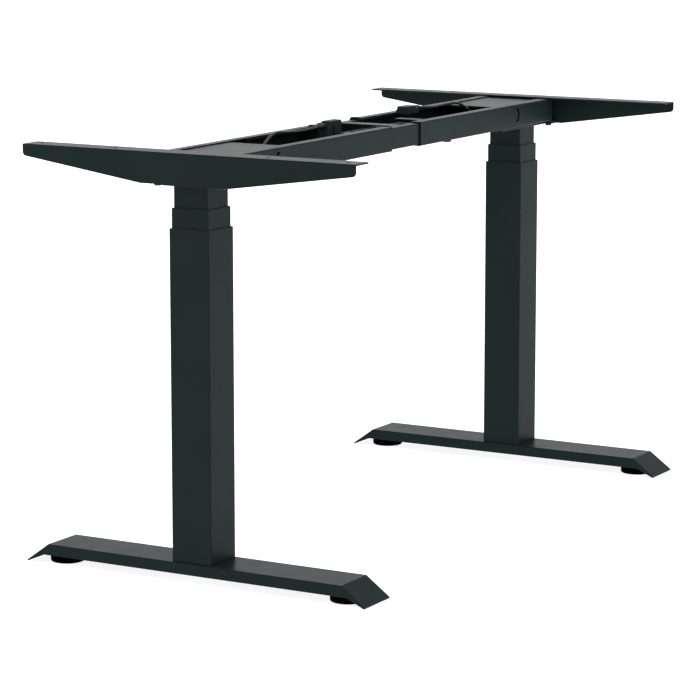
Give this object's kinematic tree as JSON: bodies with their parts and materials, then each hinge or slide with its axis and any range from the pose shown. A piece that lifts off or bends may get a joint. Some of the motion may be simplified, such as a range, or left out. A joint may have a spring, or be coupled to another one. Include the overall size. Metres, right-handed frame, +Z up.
{
  "type": "height adjustable desk frame",
  "caption": "Height adjustable desk frame: telescopic lifting columns on flat feet, joined by a telescopic cross beam and carrying tapered side brackets for a desk top.",
  "frame": {"origin": "on the floor, midway between the columns", "axes": "+X from the left leg to the right leg, +Y towards the back, +Z up"},
  "size_m": [1.1772, 0.632, 0.6935],
  "materials": {
    "powder_coat": "dark charcoal satin powder coat",
    "zinc_steel": "zinc plated",
    "bare_steel": "greased steel",
    "black_steel": "black oxide",
    "guide_plastic": "matt",
    "nut_plastic": "matt",
    "motor_shell": "satin",
    "pad_plastic": "matt",
    "black_plastic": "fine textured",
    "cable_sheath": "satin"
  },
  "bodies": {
    "left_base": {"left_foot_channel": "powder_coat", "left_foot_mount_plate": "powder_coat", "left_foot_bolts": "zinc_steel", "left_glide_nuts": "zinc_steel", "left_outer_tube": "powder_coat", "left_outer_tube_guide": "guide_plastic", "left_lower_push_tube": "bare_steel", "left_lower_spindle_nut": "nut_plastic"},
    "left_mid": {"left_mid_tube": "powder_coat", "left_mid_tube_guides": "guide_plastic", "left_upper_push_tube": "bare_steel", "left_upper_spindle_nut": "nut_plastic"},
    "left_top": {"left_inner_tube": "powder_coat", "left_inner_tube_guide": "guide_plastic", "left_gearbox": "zinc_steel", "left_motor": "motor_shell", "left_head_block": "powder_coat", "left_head_bolts": "black_steel", "left_head_plate": "powder_coat", "left_side_bracket": "powder_coat", "left_beam_tray": "powder_coat", "left_width_lock_bolts": "black_steel", "left_motor_connector": "black_plastic", "left_motor_cable": "cable_sheath"},
    "left_hollow": {"left_hollow_spindle": "bare_steel"},
    "left_drive": {"left_drive_spindle": "bare_steel"},
    "left_front_foot": {"left_front_glide": "pad_plastic"},
    "left_rear_foot": {"left_rear_glide": "pad_plastic"},
    "right_base": {"right_foot_channel": "powder_coat", "right_foot_mount_plate": "powder_coat", "right_foot_bolts": "zinc_steel", "right_glide_nuts": "zinc_steel", "right_outer_tube": "powder_coat", "right_outer_tube_guide": "guide_plastic", "right_lower_push_tube": "bare_steel", "right_lower_spindle_nut": "nut_plastic"},
    "right_mid": {"right_mid_tube": "powder_coat", "right_mid_tube_guides": "guide_plastic", "right_upper_push_tube": "bare_steel", "right_upper_spindle_nut": "nut_plastic"},
    "right_top": {"right_inner_tube": "powder_coat", "right_inner_tube_guide": "guide_plastic", "right_gearbox": "zinc_steel", "right_motor": "motor_shell", "right_head_block": "powder_coat", "right_head_bolts": "black_steel", "right_head_plate": "powder_coat", "right_side_bracket": "powder_coat", "right_beam_tray": "powder_coat", "right_width_lock_bolts": "black_steel", "right_motor_connector": "black_plastic", "right_motor_cable": "cable_sheath"},
    "right_hollow": {"right_hollow_spindle": "bare_steel"},
    "right_drive": {"right_drive_spindle": "bare_steel"},
    "right_front_foot": {"right_front_glide": "pad_plastic"},
    "right_rear_foot": {"right_rear_glide": "pad_plastic"},
    "crossbeam": {"centre_channel": "powder_coat", "cross_straps": "powder_coat", "control_box": "black_plastic"}
  },
  "joints": [
    {"name": "left_lower_lift", "type": "slide", "parent": "left_base", "child": "left_mid", "axis": [0, 0, 1], "range_m": [-0.03, 0.2925]},
    {"name": "left_upper_lift", "type": "slide", "parent": "left_mid", "child": "left_top", "axis": [0, 0, 1], "range_m": [-0.03, 0.2925]},
    {"name": "left_width_slide", "type": "slide", "parent": "left_top", "child": "crossbeam", "axis": [1, 0, 0], "range_m": [-0.05, 0.13]},
    {"name": "right_width_slide", "type": "slide", "parent": "crossbeam", "child": "right_top", "axis": [1, 0, 0], "range_m": [-0.05, 0.13]},
    {"name": "right_upper_lift", "type": "slide", "parent": "right_top", "child": "right_mid", "axis": [0, 0, -1], "range_m": [-0.03, 0.2925]},
    {"name": "right_lower_lift", "type": "slide", "parent": "right_mid", "child": "right_base", "axis": [0, 0, -1], "range_m": [-0.03, 0.2925]},
    {"name": "left_drive_spin", "type": "hinge", "parent": "left_top", "child": "left_drive", "pos_m": [-0.54, 0, 0.3], "axis": [0, 0, 1], "continuous": true},
    {"name": "left_hollow_spin", "type": "hinge", "parent": "left_mid", "child": "left_hollow", "pos_m": [-0.54, 0, 0.3], "axis": [0, 0, 1], "continuous": true},
    {"name": "left_front_level", "type": "slide", "parent": "left_base", "child": "left_front_foot", "axis": [0, 0, -1], "range_m": [0, 0.008]},
    {"name": "left_rear_level", "type": "slide", "parent": "left_base", "child": "left_rear_foot", "axis": [0, 0, -1], "range_m": [0, 0.008]},
    {"name": "right_drive_spin", "type": "hinge", "parent": "right_top", "child": "right_drive", "pos_m": [0.54, 0, 0.3], "axis": [0, 0, 1], "continuous": true},
    {"name": "right_hollow_spin", "type": "hinge", "parent": "right_mid", "child": "right_hollow", "pos_m": [0.54, 0, 0.3], "axis": [0, 0, 1], "continuous": true},
    {"name": "right_front_level", "type": "slide", "parent": "right_base", "child": "right_front_foot", "axis": [0, 0, -1], "range_m": [0, 0.008]},
    {"name": "right_rear_level", "type": "slide", "parent": "right_base", "child": "right_rear_foot", "axis": [0, 0, -1], "range_m": [0, 0.008]}
  ],
  "couplings": [
    {"joint": "left_upper_lift", "follows": "left_lower_lift", "ratio": 1},
    {"joint": "right_upper_lift", "follows": "left_lower_lift", "ratio": 1},
    {"joint": "right_lower_lift", "follows": "left_lower_lift", "ratio": 1},
    {"joint": "left_drive_spin", "follows": "left_lower_lift", "rad_per_m": 628.32},
    {"joint": "left_hollow_spin", "follows": "left_lower_lift", "rad_per_m": 628.32},
    {"joint": "right_drive_spin", "follows": "left_lower_lift", "rad_per_m": 628.32},
    {"joint": "right_hollow_spin", "follows": "left_lower_lift", "rad_per_m": 628.32}
  ]
}
